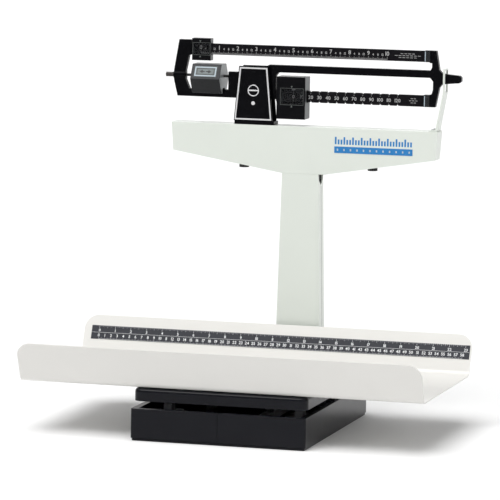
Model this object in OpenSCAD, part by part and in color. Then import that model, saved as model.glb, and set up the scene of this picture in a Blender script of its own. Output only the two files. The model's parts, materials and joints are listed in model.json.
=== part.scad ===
// Mechanical beam scale for infants: a weighing tray with a measuring tape sits on a lever base,
// and a column behind it carries the beam shelf, the graduated beam and its two poises.
// Millimetres. X runs along the tray, Y from the front to the column, Z up from the table.
// The origin is on the table under the middle of the base.

/* [Base] */
// Width of the base box, along the tray
base_w = 268; // [260:1:280]
// Depth of the base box, front to back
base_d = 361; // [361:1:370]
// Height of the base box above the table
base_h = 48; // [47:0.5:50]
// Sheet thickness of the base box
base_wall = 2.5; // [1.5:0.5:3]

/* [Platform] */
// Width of the platform cover
platform_w = 266; // [256:1:268]
// Place of the platform's front edge
platform_front = -171; // [-175:1:-165]
// Place of the platform's back edge
platform_back = 140; // [130:1:142]
// Height of the visible side of the platform cover
platform_h = 20; // [20:1:24]

/* [Tray] */
// Length of the tray
tray_l = 618; // [600:1:640]
// Depth of the flat tray floor, between the two bends
tray_floor = 272; // [260:1:272]
// Lean of the long flanges, away from upright
flange_lean = 23; // [15:1:25]
// Width of the flange plate above its bend
flange_w = 57; // [50:0.5:58]
// Outside radius of the bend between floor and flange
bend_r = 12; // [10:1:14]
// Sheet thickness of the tray
tray_sheet = 2; // [1.5:0.5:2]
// Length of the measuring tape strip
tape_l = 603.5; // [590:0.5:604]

/* [Column] */
// Sideways place of the column's middle
column_x = 30; // [28:1:34]
// Width of the column at its foot
column_foot_w = 73; // [68:1:76]
// Width of the column under the shelf
column_top_w = 58; // [54:1:62]
// Depth of the column
column_d = 31; // [29:1:31]

/* [Beam shelf] */
// Sideways place of the shelf's middle
shelf_x = 34; // [32:1:36]
// Length of the shelf along its top edge
shelf_l = 422; // [418:1:430]
// Height of the shelf's top above the table
shelf_top = 444.5; // [444:0.5:446]
// Height of the shelf's middle, above the column
shelf_mid_h = 72.5; // [70:0.5:74]
// Height of the shelf's two ends
shelf_end_h = 43.5; // [40:0.5:46]

/* [Beam] */
// Sideways place of the beam's fulcrum
fulcrum_x = -48; // [-50:1:-46]
// Height of the fulcrum above the table
fulcrum_z = 509; // [508:0.5:510]
// Distance from the fulcrum to the beam's load pivot
load_arm = 14; // [13:0.5:15]
// Pitch of the notches in the lower bar
notch_pitch = 13.7; // [13.4:0.1:13.8]

/* [Hidden] */
$fn = 64;

// Base and lever layout
plate_t = 4;
base_front = -base_d / 2;
base_back = base_d / 2;
deck_front = 142;
rim_w = 10;
rod_y = 166;
pivot_z = 30;
lever_fulcrum_y = 135;
lever_load_y = 90;
arm_x = 86;
arm_t = 12;
pivot_len = 18;
nose_z = 17;
knife = 6;
knife_r = 0.6;
seat_gap = 1.2;
draft_r = 2.5;

// Platform and tray heights
platform_z = 58;
cover_top = platform_z + platform_h;
cover_wall = 2;
tray_front = -162;
tray_back = tray_front + tray_floor;
flange_corner = 22;
tape_w = 22;
tape_foot = 18;
tape_right = 306.5;
screw_x = 96;
screw_y = 70;

// Column
column_back_y = base_back;
column_front_y = column_back_y - column_d;
column_seam_y = column_front_y + 15;
column_gap = 1.4;
column_sheet = 2;
cap_t = 3;
cap_skirt = 30;

// Beam shelf
shelf_front_y = 149.5;
shelf_back_y = 180.5;
shelf_sheet = 1.5;
shelf_bottom = shelf_top - shelf_mid_h;
lever_z = 398;
shelf_fulcrum_x = 144;
link_x = fulcrum_x - load_arm;
link_slot_r = 7;

// Stand
beam_y = 165;
stand_x = -47.3;
stand_front_y = 152.5;
stand_back_y = 177.5;
stand_plate = 2;
stand_z0 = 450;
stand_z1 = 534;
stand_foot_half = 31;
stand_top_half = 23.5;

// Beam
frame_t = 9;
bar_t = 6;
rod_z = 516.5;
rod_r = 2.1;
weight_x0 = -145.2;
weight_l = 47;
weight_z = 512.5;
weight_af = 45;
upper_z0 = 549.3;
upper_z1 = 566.3;
lower_z0 = 481;
lower_z1 = 498.5;
bars_end = 220;
poise_x = 14;
upper_poise_x = -133;

// ---- shapes used more than once ----

// Box between two corners
module box(x0, x1, y0, y1, z0, z1) {
  translate([x0, y0, z0])
    cube([x1 - x0, y1 - y0, z1 - z0]);
}

// Outline drawn in X and Z, made solid from y0 to y1
module slab(y0, y1) {
  translate([0, y1, 0])
    rotate([90, 0, 0])
      linear_extrude(y1 - y0)
        children();
}

module rod_along_x(x0, x1, y, z, r) {
  translate([x0, y, z])
    rotate([0, 90, 0])
      cylinder(r = r, h = x1 - x0);
}

module rod_along_y(y0, y1, x, z, r) {
  translate([x, y1, z])
    rotate([90, 0, 0])
      cylinder(r = r, h = y1 - y0);
}

module rod_along_z(z0, z1, x, y, r) {
  translate([x, y, z0])
    cylinder(r = r, h = z1 - z0);
}

// Rectangle with round corners, from its lowest corner
module round_rect(w, h, r) {
  translate([r, 0])
    square([w - 2 * r, h]);
  translate([0, r])
    square([w, h - 2 * r]);
  for (x = [r, w - r], y = [r, h - r])
    translate([x, y])
      circle(r);
}

// Upright block with round vertical edges
module round_block(x0, x1, y0, y1, z0, z1, r) {
  translate([x0, y0, z0])
    linear_extrude(z1 - z0)
      round_rect(x1 - x0, y1 - y0, r);
}

// Section of a knife edge, rounded about its own edge line
module knife_section(way) {
  flank = atan(0.5) - asin(knife_r / norm([knife / 2, knife]));
  tip = 0.85 * knife_r;
  circle(knife_r);
  polygon([[tip * cos(flank), way * tip * sin(flank)], [knife / 2, -way * knife],
           [-knife / 2, -way * knife], [-tip * cos(flank), way * tip * sin(flank)]]);
}

// Section of a groove that a knife edge rests in, wider than the knife
module seat_section(way) {
  depth = 5;
  polygon([[0, way * seat_gap], [-depth, -way * depth], [depth, -way * depth]]);
}

// Knife edge along X; way is 1 with the edge on top and -1 with the edge below
module knife_x(x0, x1, y, z, way) {
  translate([x0, y, z])
    rotate([90, 0, 90])
      linear_extrude(x1 - x0)
        knife_section(way);
}

// Knife edge along Y; way as above
module knife_y(y0, y1, x, z, way) {
  slab(y0, y1)
    translate([x, z])
      knife_section(way);
}

// Groove for a knife edge along X
module seat_x(x0, x1, y, z, way) {
  translate([x0, y, z])
    rotate([90, 0, 90])
      linear_extrude(x1 - x0)
        seat_section(way);
}

// Groove for a knife edge along Y
module seat_y(y0, y1, x, z, way) {
  slab(y0, y1)
    translate([x, z])
      seat_section(way);
}

// ---- base ----

module base_housing() {
  inner_w = base_w - 2 * base_wall;
  color([0.11, 0.12, 0.14])
    difference() {
      round_block(-base_w / 2, base_w / 2, base_front, base_back, plate_t, base_h, 4);
      box(-inner_w / 2, inner_w / 2, base_front + base_wall, base_back - base_wall,
          plate_t - 1, base_h - base_wall);
      box(-base_w / 2 + rim_w, base_w / 2 - rim_w, base_front + rim_w, deck_front,
          base_h - base_wall - 1, base_h + 1);
      rod_along_z(base_h - base_wall - 1, base_h + 1, column_x, rod_y, 9);
      // joint line on the front, where the bent sheet meets
      box(-0.5, 0.5, base_front - 1, base_front + 0.8, plate_t - 1, base_h + 1);
    }
}

module base_plate() {
  inset = 1.5;
  color([0.09, 0.1, 0.12])
    round_block(-base_w / 2 + inset, base_w / 2 - inset, base_front + inset,
                base_back - inset, 0, plate_t, 3);
}

// Four posts on the base plate, each with a groove for a lever's fulcrum
module lever_bearings() {
  x0 = arm_x + arm_t / 2 + 3;
  color([0.6, 0.62, 0.64])
    for (side = [-1, 1], end = [-1, 1])
      scale([side, 1, 1])
        difference() {
          box(x0, x0 + 13, end * lever_fulcrum_y - 8, end * lever_fulcrum_y + 8,
              plate_t, pivot_z + 4);
          seat_x(x0 - 1, x0 + 14, end * lever_fulcrum_y, pivot_z, -1);
        }
}

// ---- levers in the base ----

// Arms of a lever at both ends of its cross bar; way is -1 at the front and 1 at the back
module lever_arms(way) {
  for (side = [-1, 1])
    box(side * arm_x - arm_t / 2, side * arm_x + arm_t / 2,
        min(way * 84, way * 141), max(way * 84, way * 141), pivot_z - 6, pivot_z + 6);
}

module main_lever() {
  color([0.45, 0.47, 0.5])
    difference() {
      union() {
        lever_arms(-1);
        box(-arm_x, arm_x, -118, -107, pivot_z - 6, pivot_z + 6);
        box(column_x - 6, column_x + 6, -118, rod_y + 7, 14, pivot_z - 4);
      }
      knife_x(column_x - 8, column_x + 8, rod_y, nose_z, -1);
    }
}

module main_lever_pivots() {
  color([0.72, 0.73, 0.75]) {
    for (side = [-1, 1])
      scale([side, 1, 1]) {
        knife_x(arm_x + arm_t / 2, arm_x + arm_t / 2 + pivot_len, -lever_fulcrum_y, pivot_z, -1);
        knife_x(arm_x + arm_t / 2, arm_x + arm_t / 2 + pivot_len, -lever_load_y, pivot_z, 1);
      }
    // middle pivot, which carries the short lever's nose
    knife_x(column_x - 5, column_x + 5, 0, pivot_z + 2, 1);
    // nose pivot, which the draft rod's lower hook holds
    knife_x(column_x - 14, column_x + 14, rod_y, nose_z, -1);
  }
}

module short_lever() {
  color([0.45, 0.47, 0.5])
    difference() {
      union() {
        lever_arms(1);
        box(-arm_x, arm_x, 107, 118, pivot_z, pivot_z + 9);
        box(column_x - 6, column_x + 6, -8, 118, pivot_z, pivot_z + 9);
      }
      seat_x(column_x - 7, column_x + 7, 0, pivot_z + 2, 1);
    }
}

module short_lever_pivots() {
  color([0.72, 0.73, 0.75])
    for (side = [-1, 1])
      scale([side, 1, 1]) {
        knife_x(arm_x + arm_t / 2, arm_x + arm_t / 2 + pivot_len, lever_fulcrum_y, pivot_z, -1);
        knife_x(arm_x + arm_t / 2, arm_x + arm_t / 2 + pivot_len, lever_load_y, pivot_z, 1);
      }
}

// ---- platform ----

module platform_cover() {
  half = platform_w / 2;
  groove = 1.2;
  color([0.12, 0.13, 0.15])
    difference() {
      round_block(-half, half, platform_front, platform_back, platform_z, cover_top, 12);
      round_block(-half + cover_wall, half - cover_wall, platform_front + cover_wall,
                  platform_back - cover_wall, platform_z - 1, cover_top - cover_wall, 10);
      difference() {
        round_block(-half - 1, half + 1, platform_front - 1, platform_back + 1,
                    cover_top - 6, cover_top - 6 + groove, 13);
        round_block(-half + groove, half - groove, platform_front + groove,
                    platform_back - groove, cover_top - 7, cover_top - 4, 11);
      }
      tray_screw_places()
        cylinder(r = 2.2, h = 40, center = true);
    }
}

module tray_screw_places() {
  for (x = [-screw_x, screw_x], y = [-screw_y, screw_y])
    translate([x, y, cover_top])
      children();
}

// Bridge that carries the cover on the four load pivots
module platform_frame() {
  bar_w = 12;
  top = cover_top - cover_wall;
  leg_x = arm_x + arm_t / 2 + 3;
  color([0.5, 0.52, 0.54]) {
    for (y = [-120, 108])
      box(-99, 99, y, y + bar_w, 50, platform_z);
    for (side = [-1, 1])
      box(side * 93 - 6, side * 93 + 6, -120, 120, 50, platform_z);
    for (x = [-93, 0, 93], y = [-120, 108])
      box(x - 8, x + 8, y, y + bar_w, 50, top);
    for (side = [-1, 1], end = [-1, 1])
      scale([side, 1, 1])
        box(leg_x, leg_x + 13, end * lever_load_y - 6, end * lever_load_y + 6,
            pivot_z + 14, platform_z);
  }
}

// Grooved blocks under the bridge's legs, which rest on the load pivots
module platform_bearings() {
  x0 = arm_x + arm_t / 2 + 3;
  color([0.6, 0.62, 0.64])
    for (side = [-1, 1], end = [-1, 1])
      scale([side, 1, 1])
        difference() {
          box(x0, x0 + 13, end * lever_load_y - 8, end * lever_load_y + 8,
              pivot_z - 4, pivot_z + 14);
          seat_x(x0 - 1, x0 + 14, end * lever_load_y, pivot_z, 1);
        }
}

// ---- tray ----

// Moves its children to the foot of a flange, with their Y along the flange; way is 1 at the back
module at_flange(way) {
  translate([0, way > 0 ? tray_back : tray_front, cover_top + bend_r])
    mirror([0, way > 0 ? 0 : 1, 0])
      rotate([90 - flange_lean, 0, 0])
        translate([0, 0, -bend_r])
          children();
}

// Sheet line at one radius of the back bend, from the floor to the flange's tip
function bend_line(r) =
  let (centre = [tray_back, bend_r], steps = 10, turn = (90 - flange_lean) / steps)
    concat([for (i = [0:steps]) centre + r * [sin(i * turn), -cos(i * turn)]],
           [centre + r * [cos(flange_lean), -sin(flange_lean)]
            + flange_w * [sin(flange_lean), cos(flange_lean)]]);

function reversed(points) = [for (i = [len(points) - 1:-1:0]) points[i]];
function to_front(points) = [for (p = points) [tray_front + tray_back - p[0], p[1]]];

// Section across the tray: floor, two bends and two flanges of one sheet
module tray_section() {
  outside = bend_line(bend_r);
  inside = bend_line(bend_r - tray_sheet);
  polygon(concat(outside, reversed(inside), to_front(inside), reversed(to_front(outside))));
}

// Rounds the two upper corners of a flange
module corner_cut() {
  end = tray_l / 2;
  r = flange_corner;
  for (side = [-1, 1])
    translate([side * (end - r), flange_w - r, -1])
      linear_extrude(tray_sheet + 2)
        difference() {
          translate([side > 0 ? 0 : -2 * r, 0])
            square(2 * r);
          circle(r + 0.3);
        }
}

module tray() {
  color([0.86, 0.86, 0.84])
    difference() {
      translate([-tray_l / 2, 0, cover_top])
        rotate([90, 0, 90])
          linear_extrude(tray_l)
            tray_section();
      for (way = [-1, 1])
        at_flange(way)
          corner_cut();
      tray_screw_places()
        cylinder(r = 2.2, h = 20, center = true);
    }
}

module measuring_tape() {
  color([0.07, 0.08, 0.12])
    at_flange(1)
      translate([tape_right - tape_l, tape_foot, tray_sheet])
        cube([tape_l, tape_w, 0.5]);
}

module tray_screws() {
  color([0.75, 0.76, 0.78])
    tray_screw_places() {
      translate([0, 0, tray_sheet])
        cylinder(r = 4.5, h = 1.8);
      translate([0, 0, -cover_wall - 4])
        cylinder(r = 2.15, h = tray_sheet + cover_wall + 4.5);
      translate([0, 0, -cover_wall - 3.2])
        cylinder(r = 4.2, h = 3.1, $fn = 6);
    }
}

// ---- column ----

// Front view of the column, drawn in by an amount all round its sides
module column_outline(inset) {
  foot = column_foot_w / 2 - inset;
  top = column_top_w / 2 - inset;
  polygon([[column_x - foot, base_h], [column_x + foot, base_h],
           [column_x + top, shelf_bottom], [column_x - top, shelf_bottom]]);
}

module column_front() {
  color([0.84, 0.87, 0.84])
    difference() {
      slab(column_front_y, column_seam_y)
        column_outline(0);
      slab(column_front_y + column_sheet, column_seam_y + 1)
        column_outline(column_sheet);
      column_notch();
    }
}

// Pointed opening through both sides of the column, under the shelf
module column_notch() {
  depth = 18;
  y0 = column_front_y + 1;
  y1 = column_back_y - 0.5;
  mid = (y0 + y1) / 2;
  half = (y1 - y0) / 2;
  translate([column_x - column_foot_w, 0, shelf_bottom])
    rotate([90, 0, 90])
      linear_extrude(2 * column_foot_w)
        polygon([[y0, 1], [y0, 0], [mid - 0.8 * half, -0.5 * depth],
                 [mid - 0.45 * half, -0.78 * depth], [mid, -depth],
                 [mid + 0.45 * half, -0.78 * depth], [mid + 0.8 * half, -0.5 * depth],
                 [y1, 0], [y1, 1]]);
}

module column_back() {
  color([0.82, 0.85, 0.82])
    difference() {
      slab(column_seam_y + column_gap, column_back_y)
        column_outline(0.6);
      slab(column_seam_y - 1, column_back_y - column_sheet)
        column_outline(column_sheet + 0.6);
      column_notch();
      column_screw_places()
        rod_along_y(column_back_y - 6, column_back_y + 1, 0, 0, 2);
    }
}

module column_screw_places() {
  for (z = [base_h + 30, 210, shelf_bottom - 32], x = [-16, 16])
    translate([column_x + x, 0, z])
      children();
}

module column_screws() {
  color([0.7, 0.71, 0.73])
    column_screw_places() {
      rod_along_y(column_back_y - 5, column_back_y, 0, 0, 1.9);
      rod_along_y(column_back_y, column_back_y + 1.6, 0, 0, 3.6);
    }
}

// Angle inside the column that bolts it to the base deck
module column_foot() {
  inner = column_foot_w / 2 - column_sheet - 2;
  color([0.55, 0.57, 0.6])
    difference() {
      union() {
        box(column_x - inner, column_x + inner, column_front_y + column_sheet + 0.2,
            column_back_y - column_sheet - 0.2, base_h, base_h + 3);
        box(column_x - inner, column_x + inner, column_front_y + column_sheet + 0.2,
            column_front_y + column_sheet + 3.2, base_h, base_h + 26);
      }
      rod_along_z(base_h - 1, base_h + 4, column_x, rod_y, 8);
    }
}

// Black bracket inside the column's top, with a skirt down each side, which carries the shelf
module column_cap() {
  inset = column_sheet + 1;
  y0 = column_front_y + inset;
  y1 = column_back_y - inset;
  color([0.08, 0.08, 0.09])
    difference() {
      intersection() {
        slab(y0, y1)
          column_outline(inset);
        box(column_x - column_foot_w, column_x + column_foot_w, y0, y1,
            shelf_bottom - cap_skirt, shelf_bottom);
      }
      intersection() {
        slab(y0 - 1, y1 + 1)
          column_outline(inset + 2);
        box(column_x - column_foot_w, column_x + column_foot_w, y0 - 1, y1 + 1,
            shelf_bottom - cap_skirt - 1, shelf_bottom - cap_t);
      }
      rod_along_z(shelf_bottom - cap_t - 1, shelf_bottom + 1, column_x, rod_y, 8);
    }
}

// ---- beam shelf ----

function shelf_points(inset) = let (
    end = shelf_l / 2 - inset,
    low_end = shelf_l / 2 - 3 - inset,
    mid = 33 - inset / 2
  ) [
    [shelf_x - end, shelf_top - inset],
    [shelf_x - low_end, shelf_top - shelf_end_h + inset],
    [shelf_x - mid, shelf_bottom + inset],
    [shelf_x + mid, shelf_bottom + inset],
    [shelf_x + low_end, shelf_top - shelf_end_h + inset],
    [shelf_x + end, shelf_top - inset]
  ];

// Height of the sloping floor inside the shelf, right of the column
function shelf_floor(x) = let (
    low = shelf_points(shelf_sheet)[3],
    high = shelf_points(shelf_sheet)[4]
  ) low[1] + (x - low[0]) * (high[1] - low[1]) / (high[0] - low[0]);

module beam_shelf() {
  color([0.84, 0.87, 0.84])
    difference() {
      slab(shelf_front_y, shelf_back_y - shelf_sheet)
        polygon(shelf_points(0));
      slab(shelf_front_y + shelf_sheet, shelf_back_y + 1)
        polygon(shelf_points(shelf_sheet));
      rod_along_z(shelf_bottom - 1, shelf_bottom + 3, column_x, rod_y, 8);
      rod_along_z(shelf_top - 4, shelf_top + 1, link_x, beam_y, link_slot_r);
    }
}

module shelf_back() {
  color([0.82, 0.85, 0.82])
    slab(shelf_back_y - shelf_sheet, shelf_back_y)
      polygon(shelf_points(0));
}

// Two black stops on the sloping underside of the shelf
module shelf_plugs() {
  color([0.08, 0.08, 0.09])
    for (place = [[-62, 378], [142, 380.5]])
      difference() {
        rod_along_z(place[1], place[1] + 14, place[0], beam_y - 6, 7.6);
        slab(shelf_front_y - 5, shelf_back_y + 5)
          polygon(shelf_points(0));
      }
}

// Post inside the shelf under the shelf lever's fulcrum
module shelf_bearing() {
  x0 = shelf_fulcrum_x - 9;
  x1 = shelf_fulcrum_x + 9;
  color([0.6, 0.62, 0.64])
    difference() {
      slab(beam_y - 11, beam_y + 11)
        polygon([[x0, shelf_floor(x0)], [x1, shelf_floor(x1)], [x1, lever_z + 4],
                 [x0, lever_z + 4]]);
      box(x0 - 1, x1 + 1, beam_y - 6, beam_y + 6, lever_z - 7.5, lever_z + 5);
      seat_y(beam_y - 12, beam_y + 12, shelf_fulcrum_x, lever_z, -1);
    }
}

module shelf_label() {
  z0 = 406.5;
  bar_h = 10;
  color([0.1, 0.36, 0.66])
    box(83.5, 206.5, shelf_front_y - 0.4, shelf_front_y, z0, z0 + bar_h);
}

module shelf_lever() {
  color([0.45, 0.47, 0.5])
    difference() {
      box(link_x - 10, shelf_fulcrum_x + 8, beam_y - 4, beam_y + 4, lever_z - 6, lever_z + 8);
      knife_y(beam_y - 5, beam_y + 5, shelf_fulcrum_x, lever_z, -1);
      knife_y(beam_y - 5, beam_y + 5, column_x, lever_z, 1);
      knife_y(beam_y - 5, beam_y + 5, link_x, lever_z, -1);
    }
}

module shelf_lever_pivots() {
  reach = 10;
  color([0.72, 0.73, 0.75]) {
    knife_y(beam_y - reach, beam_y + reach, shelf_fulcrum_x, lever_z, -1);
    knife_y(beam_y - reach, beam_y + reach, column_x, lever_z, 1);
    knife_y(beam_y - reach, beam_y + reach, link_x, lever_z, -1);
  }
}

// ---- rods between the levers ----

module draft_rod() {
  color([0.7, 0.71, 0.73])
    rod_along_z(32, 381, column_x, rod_y, draft_r);
}

// Outline of the eye that a hook hangs from a knife edge by
module eye_section(way) {
  half = 3.6;
  polygon([[0, way * seat_gap], [half, -way * 3.4], [half, -way * 9], [-half, -way * 9],
           [-half, -way * 3.4]]);
}

// Eye through both cheeks of a hook for a knife edge along X; way as for the knife
module eye_x(x0, x1, y, z, way) {
  translate([x0, y, z])
    rotate([90, 0, 90])
      linear_extrude(x1 - x0)
        eye_section(way);
}

// Eye through both cheeks of a hook for a knife edge along Y
module eye_y(y0, y1, x, z, way) {
  slab(y0, y1)
    translate([x, z])
      eye_section(way);
}

// Each hook has two cheeks with an eye, joined by a bridge that the rod is fixed in
module draft_rod_hooks() {
  color([0.6, 0.62, 0.64]) {
    // lower hook, under the main lever's nose pivot
    difference() {
      box(column_x - 13, column_x + 13, rod_y - 7, rod_y + 7, 10, 36);
      box(column_x - 8, column_x + 8, rod_y - 8, rod_y + 8, 9, 31);
      eye_x(column_x - 14, column_x + 14, rod_y, nose_z, -1);
      rod_along_z(30, 37, column_x, rod_y, draft_r);
    }
    // upper hook, over the shelf lever's load pivot
    difference() {
      box(column_x - 6, column_x + 6, beam_y - 9.5, beam_y + 9.5, 376, lever_z + 8);
      box(column_x - 7, column_x + 7, beam_y - 5.5, beam_y + 5.5, 382, lever_z + 9);
      eye_y(beam_y - 11, beam_y + 11, column_x, lever_z, 1);
      rod_along_z(375, 383, column_x, rod_y, draft_r);
    }
  }
}

// Link between the shelf lever and the beam's load pivot, with a stirrup at each end
module beam_link() {
  color([0.7, 0.71, 0.73]) {
    difference() {
      box(link_x - 6, link_x + 6, beam_y - 9.5, beam_y + 9.5, lever_z - 7, 420);
      box(link_x - 7, link_x + 7, beam_y - 5.5, beam_y + 5.5, lever_z - 8, 414);
      eye_y(beam_y - 11, beam_y + 11, link_x, lever_z, -1);
    }
    rod_along_z(418, 472, link_x, beam_y, draft_r);
    difference() {
      box(link_x - 5, link_x + 5, beam_y - 9, beam_y + 9, 470, fulcrum_z + 5);
      box(link_x - 6, link_x + 6, beam_y - 6, beam_y + 6, 475, fulcrum_z + 6);
      eye_y(beam_y - 11, beam_y + 11, link_x, fulcrum_z, 1);
    }
  }
}

// ---- stand ----

// Front view of the stand's plates, drawn in by an amount all round
module stand_outline(inset) {
  foot = stand_foot_half - inset;
  top = stand_top_half - inset;
  polygon([[stand_x - foot, stand_z0 + inset], [stand_x + foot, stand_z0 + inset],
           [stand_x + top, stand_z1 - inset], [stand_x - top, stand_z1 - inset]]);
}

module stand_foot() {
  color([0.06, 0.06, 0.07])
    difference() {
      union() {
        box(-77, -14, stand_front_y, stand_back_y, shelf_top, stand_z0);
        for (y = [stand_front_y + stand_plate, stand_back_y - stand_plate - 3])
          box(stand_x - 26, stand_x + 26, y, y + 3, stand_z0 - 1, stand_z0 + 14);
      }
      rod_along_z(shelf_top - 1, stand_z0 + 1, link_x, beam_y, link_slot_r);
    }
}

module stand_front() {
  color([0.05, 0.05, 0.06])
    slab(stand_front_y, stand_front_y + stand_plate)
      stand_outline(0);
}

module stand_back() {
  color([0.05, 0.05, 0.06])
    slab(stand_back_y - stand_plate, stand_back_y)
      stand_outline(0);
}

module stand_screws() {
  color([0.6, 0.62, 0.64])
    for (x = [-18, 18])
      rod_along_y(stand_back_y, stand_back_y + 1.6, stand_x + x, stand_z0 + 7, 3);
}

// Two grooved blocks that carry the beam's fulcrum, one on each plate of the stand
module beam_bearings() {
  color([0.6, 0.62, 0.64])
    for (side = [-1, 1])
      difference() {
        box(fulcrum_x - 7, fulcrum_x + 7,
            side < 0 ? stand_front_y + stand_plate : stand_back_y - stand_plate - 4,
            side < 0 ? stand_front_y + stand_plate + 4 : stand_back_y - stand_plate,
            fulcrum_z - 12, fulcrum_z + 4);
        seat_y(stand_front_y, stand_back_y, fulcrum_x, fulcrum_z, -1);
      }
}

// Bright border round the stand's face
module badge_frame() {
  edge = 2.2;
  color([0.78, 0.78, 0.8])
    slab(stand_front_y - 0.8, stand_front_y)
      difference() {
        stand_outline(1.6);
        stand_outline(1.6 + edge);
      }
}

// Plain ornament: a ring with a level bar across it, and a cover screw below
module badge_emblem() {
  emblem_z = 497;
  color([0.72, 0.72, 0.74])
    slab(stand_front_y - 0.8, stand_front_y) {
      difference() {
        translate([stand_x, emblem_z])
          circle(9);
        translate([stand_x, emblem_z])
          circle(7.4);
      }
      translate([stand_x - 8, emblem_z - 1])
        square([16, 2]);
      translate([stand_x, 477.5])
        circle(3);
    }
}

// ---- loop that limits the beam's swing ----

module trig_loop() {
  foot_x = 241;
  head_x = 252;
  bend_z = 503;
  strip = 2.8;
  color([0.9, 0.91, 0.9])
    difference() {
      slab(beam_y - 11.5, beam_y + 11.5)
        polygon([[foot_x - 10, shelf_top], [foot_x + 2, shelf_top],
                 [foot_x + 2.5, shelf_top + 2], [head_x + strip / 2, bend_z],
                 [head_x + strip / 2, 540], [head_x - strip / 2, 540],
                 [head_x - strip / 2, bend_z], [foot_x - 1, shelf_top + 2],
                 [foot_x - 10, shelf_top + 2]]);
      box(head_x - 6, head_x + 6, beam_y - 8.5, beam_y + 8.5, 505, 537.5);
    }
}

module trig_loop_screws() {
  color([0.35, 0.36, 0.38])
    for (y = [beam_y - 7, beam_y + 7])
      rod_along_z(shelf_top + 2, shelf_top + 3.6, 235.5, y, 2.4);
}

// ---- beam ----

module beam_frame() {
  y0 = beam_y - frame_t / 2;
  y1 = beam_y + frame_t / 2;
  color([0.06, 0.06, 0.07])
    difference() {
      union() {
        slab(y0, y1) {
          // left bracket and the bar along its foot
          polygon([[-169.5, 571.3], [-177.5, 524], [-177.5, 509], [-171.5, 484], [-89, 484],
                   [-89, 496], [-152.7, 496], [-158.5, 510], [-158.5, 524],
                   [-153.5, 547.5], [-150, 548], [-150, 571.3]]);
          // block round the fulcrum, rising to the middle bar
          polygon([[-90, 484], [-14, 484], [-14, 520], [-10, 525.5], [-10, 536.8],
                   [-25, 536.8], [-31, 533], [-31, 524], [-90, 524]]);
          polygon([[-12, 525.5], [234, 525.5], [234, 536.8], [-12, 536.8]]);
          // right bracket and pointer
          polygon([[228, 567], [238, 567], [243, 538], [248, 532.5], [274.5, 530.2],
                   [277.5, 527.5], [277.5, 521.5], [274.5, 518.9], [248, 516.5],
                   [243.5, 511], [237.5, 481],
                   [228, 481], [228, 499.5], [231.5, 501], [233.5, 508], [233.5, 520],
                   [229, 525.5], [229, 536.8], [231.5, 541], [231.5, 548], [228, 548]]);
        }
        // boss that the balance rod turns in
        rod_along_x(-178, -159.5, beam_y, rod_z, 6.5);
      }
      rod_along_x(-179, -158, beam_y, rod_z, rod_r + 0.05);
      rod_along_x(-91, -80, beam_y, rod_z, rod_r + 0.05);
      // room for the fulcrum and load pivots
      knife_y(y0 - 1, y1 + 1, fulcrum_x, fulcrum_z, -1);
      knife_y(y0 - 1, y1 + 1, link_x, fulcrum_z, 1);
    }
}

module upper_bar() {
  color([0.05, 0.05, 0.06])
    slab(beam_y - bar_t / 2, beam_y + bar_t / 2)
      polygon([[-150, upper_z0], [bars_end, upper_z0], [bars_end, upper_z1],
               [-150, upper_z1]]);
}

module lower_bar() {
  notches = 12;
  color([0.05, 0.05, 0.06])
    difference() {
      slab(beam_y - bar_t / 2, beam_y + bar_t / 2)
        polygon([[-14, lower_z0], [bars_end, lower_z0], [bars_end, lower_z1],
                 [-14, lower_z1]]);
      for (n = [0 : notches], z = [lower_z0, lower_z1])
        rod_along_y(beam_y - bar_t, beam_y + bar_t, poise_x + n * notch_pitch, z, 1.5);
    }
}

// Ribbed blocks that join the bars to the right bracket
module bar_end_blocks() {
  rib = 1.6;
  color([0.1, 0.1, 0.11])
    for (span = [[lower_z0, 499.5], [upper_z0, 567]])
      difference() {
        box(bars_end, 228, beam_y - 5, beam_y + 5, span[0], span[1]);
        for (n = [0 : 2], side = [-1, 1])
          rod_along_z(span[0] - 1, span[1] + 1, bars_end + 2 + n * (rib + 0.6),
                      beam_y + side * 5.2, 0.7);
      }
}

module beam_rivets() {
  color([0.5, 0.51, 0.53])
    for (place = [[232.5, 559], [232, 489.5], [-160, 558.5]])
      for (side = [-1, 1])
        rod_along_y(side < 0 ? beam_y - frame_t / 2 - 0.8 : beam_y + frame_t / 2,
                    side < 0 ? beam_y - frame_t / 2 : beam_y + frame_t / 2 + 0.8,
                    place[0], place[1], 2);
}

module beam_pivots() {
  color([0.72, 0.73, 0.75]) {
    knife_y(beam_y - 9.8, beam_y + 9.8, fulcrum_x, fulcrum_z, -1);
    knife_y(beam_y - 9.8, beam_y + 9.8, link_x, fulcrum_z, 1);
  }
}

// ---- balance weight and its rod ----

module balance_rod() {
  color([0.12, 0.12, 0.13])
    rod_along_x(-184, -81, beam_y, rod_z, rod_r);
}

module balance_knob() {
  flutes = 12;
  knob_r = 3.6;
  color([0.15, 0.12, 0.12])
    difference() {
      rod_along_x(-191, -179, beam_y, rod_z, knob_r);
      rod_along_x(-184, -178, beam_y, rod_z, rod_r);
      for (n = [0 : flutes - 1])
        rod_along_x(-190, -180, beam_y + knob_r * cos(n * 360 / flutes),
                    rod_z + knob_r * sin(n * 360 / flutes), 0.45);
    }
}

module balance_weight() {
  corner_r = weight_af / sqrt(3);
  slot = frame_t / 2 + 0.6;
  color([0.22, 0.23, 0.25])
    difference() {
      translate([weight_x0, beam_y, weight_z])
        rotate([90, 0, 90])
          cylinder(r = corner_r, h = weight_l, $fn = 6);
      rod_along_x(weight_x0 - 1, weight_x0 + weight_l + 1, beam_y, rod_z, rod_r + 0.05);
      box(weight_x0 - 1, weight_x0 + weight_l + 1, beam_y - slot, beam_y + slot, 480, 498);
    }
}

// Plate on the weight's upper front facet
module weight_label() {
  facet_r = weight_af / 2;
  color([0.55, 0.57, 0.58])
    translate([weight_x0 + 5, beam_y, weight_z])
      rotate([60, 0, 0])
        translate([0, -9, facet_r])
          cube([36, 18, 0.5]);
}

// ---- poises ----

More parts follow.
